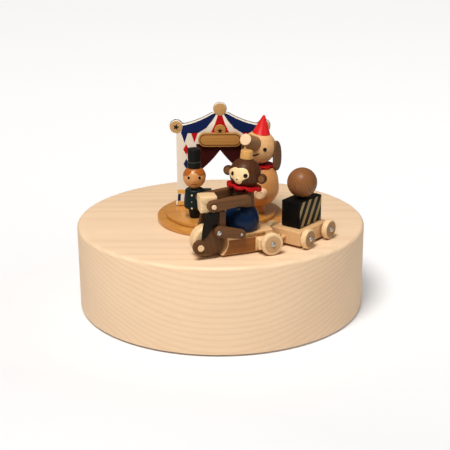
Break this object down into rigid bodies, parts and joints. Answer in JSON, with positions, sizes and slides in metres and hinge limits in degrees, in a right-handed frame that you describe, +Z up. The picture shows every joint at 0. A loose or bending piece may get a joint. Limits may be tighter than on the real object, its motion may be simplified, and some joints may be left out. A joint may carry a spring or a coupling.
{
  "type": "music box",
  "caption": "Wooden music box: a round drum with a circus stage on top and a small scooter and trailer that a hidden magnet drives round it; wound by its base disc.",
  "frame": {"origin": "on the drum axis at the surface that the music box stands on", "axes": "+Z up along the drum axis, -Y to the front that the tent and the figures face, +X to the right of a viewer at the front"},
  "size_m": [0.155, 0.155, 0.1089],
  "materials": {
    "maple": "fine-grained pale maple, clear matt oil",
    "plywood": "raw birch plywood",
    "golden_lacquer": "golden-tan gloss lacquer over turned wood",
    "tan_wood": "warm tan hardwood, satin",
    "walnut": "dark walnut, satin oil",
    "white_board": "white painted board, satin",
    "red_paint": "red paint over wood, satin",
    "navy_paint": "navy paint over wood, satin",
    "teal_paint": "dark teal paint over wood, satin",
    "black_paint": "black paint over wood, satin",
    "steel": "bright plain steel",
    "brass": "plain brass",
    "cast_zinc": "die-cast, bead-blasted",
    "rubber": "matt black rubber"
  },
  "bodies": {
    "case": {"drum": "maple", "bottom_cover": "plywood", "cover_screw_1": "steel", "cover_screw_2": "steel", "cover_screw_3": "steel", "movement_bedplate": "cast_zinc", "tone_comb": "steel", "stage_lower": "golden_lacquer", "stage_upper": "golden_lacquer", "tent_front": "white_board", "tent_sign": "tan_wood", "ringmaster_body": "teal_paint", "ringmaster_head": "tan_wood", "ringmaster_hat": "black_paint", "elephant_body": "tan_wood", "elephant_head": "tan_wood", "elephant_trunk": "tan_wood", "elephant_ear_near": "walnut", "elephant_ear_far": "walnut", "elephant_ruff": "red_paint", "elephant_hat": "red_paint"},
    "winder": {"winding_disc": "maple", "foot_ring": "rubber", "winding_arbor": "steel"},
    "drive": {"spring_barrel": "brass", "magnet_arm": "steel", "arm_magnet": "steel"},
    "cylinder": {"pinned_cylinder": "brass"},
    "governor": {"governor_wheel": "brass"},
    "fan": {"governor_fan": "brass"},
    "scooter": {"scooter_body": "maple", "fork_plate_near": "walnut", "fork_plate_far": "walnut", "headlight": "maple", "handlebar": "maple", "front_axle": "steel", "rear_axle": "steel", "scooter_magnet": "steel", "leg_shield": "walnut", "monkey_trousers": "navy_paint", "monkey_torso": "walnut", "monkey_ruff": "red_paint", "monkey_head": "walnut", "monkey_hat": "tan_wood", "monkey_arm_near": "walnut", "monkey_arm_far": "walnut", "monkey_leg_near": "walnut", "monkey_leg_far": "walnut"},
    "front_wheel": {"front_wheel": "maple"},
    "rear_wheel_near": {"rear_wheel_near": "maple"},
    "rear_wheel_far": {"rear_wheel_far": "maple"},
    "trailer": {"trailer_tray": "maple", "crate": "black_paint", "cargo_ball": "walnut", "trailer_axle_front": "steel", "trailer_axle_rear": "steel"},
    "trailer_wheel_front_near": {"trailer_wheel_front_near": "maple"},
    "trailer_wheel_front_far": {"trailer_wheel_front_far": "maple"},
    "trailer_wheel_rear_near": {"trailer_wheel_rear_near": "maple"},
    "trailer_wheel_rear_far": {"trailer_wheel_rear_far": "maple"}
  },
  "joints": [
    {"name": "winder_turn", "type": "hinge", "parent": "case", "child": "winder", "pos_m": [0, 0, 0.004], "axis": [0, 0, 1], "range_deg": [0, 1080]},
    {"name": "drive_turn", "type": "hinge", "parent": "case", "child": "drive", "pos_m": [0, 0, 0.03], "axis": [0, 0, -1], "continuous": true},
    {"name": "cylinder_turn", "type": "hinge", "parent": "case", "child": "cylinder", "pos_m": [0.0199, 0, 0.0305], "axis": [-1, 0, 0], "continuous": true},
    {"name": "governor_turn", "type": "hinge", "parent": "case", "child": "governor", "pos_m": [0.0436, 0.00853, 0.02705], "axis": [1, 0, 0], "continuous": true},
    {"name": "fan_turn", "type": "hinge", "parent": "case", "child": "fan", "pos_m": [0.0467, 0.01668, 0.02705], "axis": [0, 0, 1], "continuous": true},
    {"name": "scooter_lift", "type": "slide", "parent": "drive", "child": "scooter", "axis": [0, 0, 1], "range_m": [0, 0.02]},
    {"name": "front_wheel_roll", "type": "hinge", "parent": "scooter", "child": "front_wheel", "pos_m": [-0.00697, -0.05901, 0.0546], "axis": [0.3778, -0.9259, 0], "continuous": true},
    {"name": "rear_wheel_near_roll", "type": "hinge", "parent": "scooter", "child": "rear_wheel_near", "pos_m": [0.02523, -0.05958, 0.0524], "axis": [0.3778, -0.9259, 0], "continuous": true},
    {"name": "rear_wheel_far_roll", "type": "hinge", "parent": "scooter", "child": "rear_wheel_far", "pos_m": [0.01564, -0.03607, 0.0524], "axis": [0.3778, -0.9259, 0], "continuous": true},
    {"name": "trailer_swing", "type": "hinge", "parent": "scooter", "child": "trailer", "pos_m": [0.0297, -0.04685, 0.0515], "axis": [0, 0, 1], "range_deg": [-3, 3]},
    {"name": "trailer_wheel_front_near_roll", "type": "hinge", "parent": "trailer", "child": "trailer_wheel_front_near", "pos_m": [0.04361, -0.05057, 0.0518], "axis": [0.788, -0.6157, 0], "continuous": true},
    {"name": "trailer_wheel_front_far_roll", "type": "hinge", "parent": "trailer", "child": "trailer_wheel_front_far", "pos_m": [0.02596, -0.03678, 0.0518], "axis": [0.788, -0.6157, 0], "continuous": true},
    {"name": "trailer_wheel_rear_near_roll", "type": "hinge", "parent": "trailer", "child": "trailer_wheel_rear_near", "pos_m": [0.05531, -0.0356, 0.0518], "axis": [0.788, -0.6157, 0], "continuous": true},
    {"name": "trailer_wheel_rear_far_roll", "type": "hinge", "parent": "trailer", "child": "trailer_wheel_rear_far", "pos_m": [0.03766, -0.02181, 0.0518], "axis": [0.788, -0.6157, 0], "continuous": true}
  ],
  "couplings": [
    {"joint": "cylinder_turn", "follows": "drive_turn", "ratio": 3},
    {"joint": "governor_turn", "follows": "drive_turn", "ratio": 10.5},
    {"joint": "fan_turn", "follows": "drive_turn", "ratio": 63},
    {"joint": "front_wheel_roll", "follows": "drive_turn", "ratio": 7.6178},
    {"joint": "rear_wheel_near_roll", "follows": "drive_turn", "ratio": 11.554},
    {"joint": "rear_wheel_far_roll", "follows": "drive_turn", "ratio": 7.0179},
    {"joint": "trailer_wheel_front_near_roll", "follows": "drive_turn", "ratio": 13.1},
    {"joint": "trailer_wheel_front_far_roll", "follows": "drive_turn", "ratio": 8.62},
    {"joint": "trailer_wheel_rear_near_roll", "follows": "drive_turn", "ratio": 13.1},
    {"joint": "trailer_wheel_rear_far_roll", "follows": "drive_turn", "ratio": 8.62}
  ]
}
